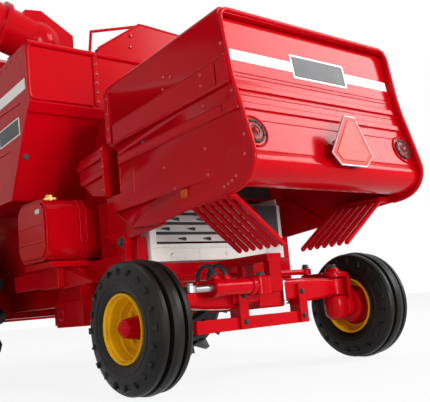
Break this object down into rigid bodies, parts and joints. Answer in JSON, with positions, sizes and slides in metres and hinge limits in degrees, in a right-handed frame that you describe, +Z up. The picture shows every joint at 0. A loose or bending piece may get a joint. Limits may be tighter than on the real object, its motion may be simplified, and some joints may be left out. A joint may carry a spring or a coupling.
{
  "type": "scale model combine harvester",
  "caption": "Scale model of a red grain combine with a cab, saddle grain tank, swung-out unloading tube, straw hood with windrow rods, steered rear axle and a grain header with reel.",
  "frame": {"origin": "on the ground, in the middle of the model's box", "axes": "+X to the machine's left, +Y to its rear, +Z up"},
  "size_m": [0.458, 0.502, 0.2621],
  "materials": {
    "red_paint": "gloss",
    "white_paint": "gloss",
    "yellow_paint": "gloss",
    "dark_paint": "satin",
    "steel": "satin",
    "brass": "satin",
    "rubber": "matte",
    "tyre": "matte",
    "black_plastic": "matte",
    "red_lens": "gloss",
    "warning_red": "satin",
    "glass": "clear"
  },
  "bodies": {
    "chassis": {"frame_rails": "red_paint", "drive_axle": "red_paint", "separator_body": "red_paint", "straw_hood": "red_paint", "rear_panel": "red_paint", "lamp_bezels": "black_plastic", "lamp_lenses": "red_lens", "slow_triangle": "warning_red", "windrow_fingers": "red_paint", "cleaning_shoe": "white_paint", "grain_tank": "red_paint", "tank_gable": "red_paint", "unload_turret": "red_paint", "clean_grain_elevator": "red_paint", "fuel_tank": "red_paint", "fuel_cap": "brass", "fuel_bracket": "red_paint", "platform": "dark_paint", "handrails": "red_paint", "cab_body": "red_paint", "cab_roof": "red_paint", "cab_glass": "glass", "driver_seat": "black_plastic", "steering_column": "black_plastic", "engine_house": "red_paint", "rotary_screen": "dark_paint", "exhaust": "dark_paint", "axle_beam": "red_paint", "hitch_bar": "red_paint", "steer_barrel": "red_paint", "steer_hoses": "rubber"},
    "unloader": {"unload_tube": "red_paint", "unload_spout": "rubber"},
    "door": {"cab_door": "red_paint", "door_glass": "glass"},
    "drive_wheel_l": {"drive_rim_l": "yellow_paint", "drive_tyre_l": "tyre"},
    "drive_wheel_r": {"drive_rim_r": "yellow_paint", "drive_tyre_r": "tyre"},
    "steering_l": {"knuckle_l": "red_paint"},
    "steering_r": {"knuckle_r": "red_paint"},
    "tie": {"tie_rod": "red_paint"},
    "ram": {"steer_rod": "steel"},
    "steer_wheel_l": {"steer_rim_l": "yellow_paint", "steer_tyre_l": "tyre"},
    "steer_wheel_r": {"steer_rim_r": "yellow_paint", "steer_tyre_r": "tyre"},
    "header": {"feeder_house": "red_paint", "header_frame": "red_paint", "cutter_bar": "dark_paint", "reel_arms": "red_paint"},
    "header_auger": {"auger_tube": "dark_paint", "auger_flights": "steel"},
    "reel": {"reel": "yellow_paint"},
    "lift_cylinders": {"lift_barrels": "red_paint"},
    "lift_pistons": {"lift_rods": "steel"}
  },
  "joints": [
    {"name": "drive_spin_l", "type": "hinge", "parent": "chassis", "child": "drive_wheel_l", "pos_m": [0.09, -0.017, 0.052], "axis": [1, 0, 0], "continuous": true},
    {"name": "drive_spin_r", "type": "hinge", "parent": "chassis", "child": "drive_wheel_r", "pos_m": [-0.09, -0.017, 0.052], "axis": [1, 0, 0], "continuous": true},
    {"name": "steer_l", "type": "hinge", "parent": "chassis", "child": "steering_l", "pos_m": [0.057, 0.183, 0.04], "axis": [0, 0, 1], "range_deg": [-30, 30]},
    {"name": "steer_r", "type": "hinge", "parent": "chassis", "child": "steering_r", "pos_m": [-0.057, 0.183, 0.04], "axis": [0, 0, 1], "range_deg": [-30, 30]},
    {"name": "tie_turn", "type": "hinge", "parent": "steering_l", "child": "tie", "pos_m": [0.057, 0.163, 0.051], "axis": [0, 0, 1], "range_deg": [-30, 30]},
    {"name": "ram_slide", "type": "slide", "parent": "chassis", "child": "ram", "axis": [1, 0, 0], "range_m": [-0.0075, 0.0075]},
    {"name": "steer_spin_l", "type": "hinge", "parent": "steering_l", "child": "steer_wheel_l", "pos_m": [0.076, 0.183, 0.03], "axis": [1, 0, 0], "continuous": true},
    {"name": "steer_spin_r", "type": "hinge", "parent": "steering_r", "child": "steer_wheel_r", "pos_m": [-0.076, 0.183, 0.03], "axis": [1, 0, 0], "continuous": true},
    {"name": "unloader_swing", "type": "hinge", "parent": "chassis", "child": "unloader", "pos_m": [0.06, 0.068, 0.19], "axis": [0, 0, 1], "range_deg": [0, 90]},
    {"name": "door_swing", "type": "hinge", "parent": "chassis", "child": "door", "pos_m": [0.066, -0.027, 0.16], "axis": [0, 0, 1], "range_deg": [0, 80]},
    {"name": "header_lift", "type": "hinge", "parent": "chassis", "child": "header", "pos_m": [0, -0.063, 0.096], "axis": [-1, 0, 0], "range_deg": [-22, 0]},
    {"name": "auger_spin", "type": "hinge", "parent": "header", "child": "header_auger", "pos_m": [0, -0.17638, 0.06631], "axis": [1, 0, 0], "continuous": true},
    {"name": "reel_spin", "type": "hinge", "parent": "header", "child": "reel", "pos_m": [0, -0.19532, 0.11818], "axis": [1, 0, 0], "continuous": true},
    {"name": "lift_swing", "type": "hinge", "parent": "chassis", "child": "lift_cylinders", "pos_m": [0, -0.03, 0.046], "axis": [-1, 0, 0], "range_deg": [-12.22, 0]},
    {"name": "lift_slide", "type": "slide", "parent": "lift_cylinders", "child": "lift_pistons", "axis": [0, -0.9873, 0.1591], "range_m": [-0.0189, 0]}
  ],
  "couplings": [
    {"joint": "steer_r", "follows": "steer_l", "ratio": 1},
    {"joint": "tie_turn", "follows": "steer_l", "ratio": -1},
    {"joint": "ram_slide", "follows": "steer_l", "m_per_rad": -0.013369},
    {"joint": "lift_swing", "follows": "header_lift", "ratio": 0.5326},
    {"joint": "lift_slide", "follows": "header_lift", "m_per_rad": 0.047919}
  ]
}
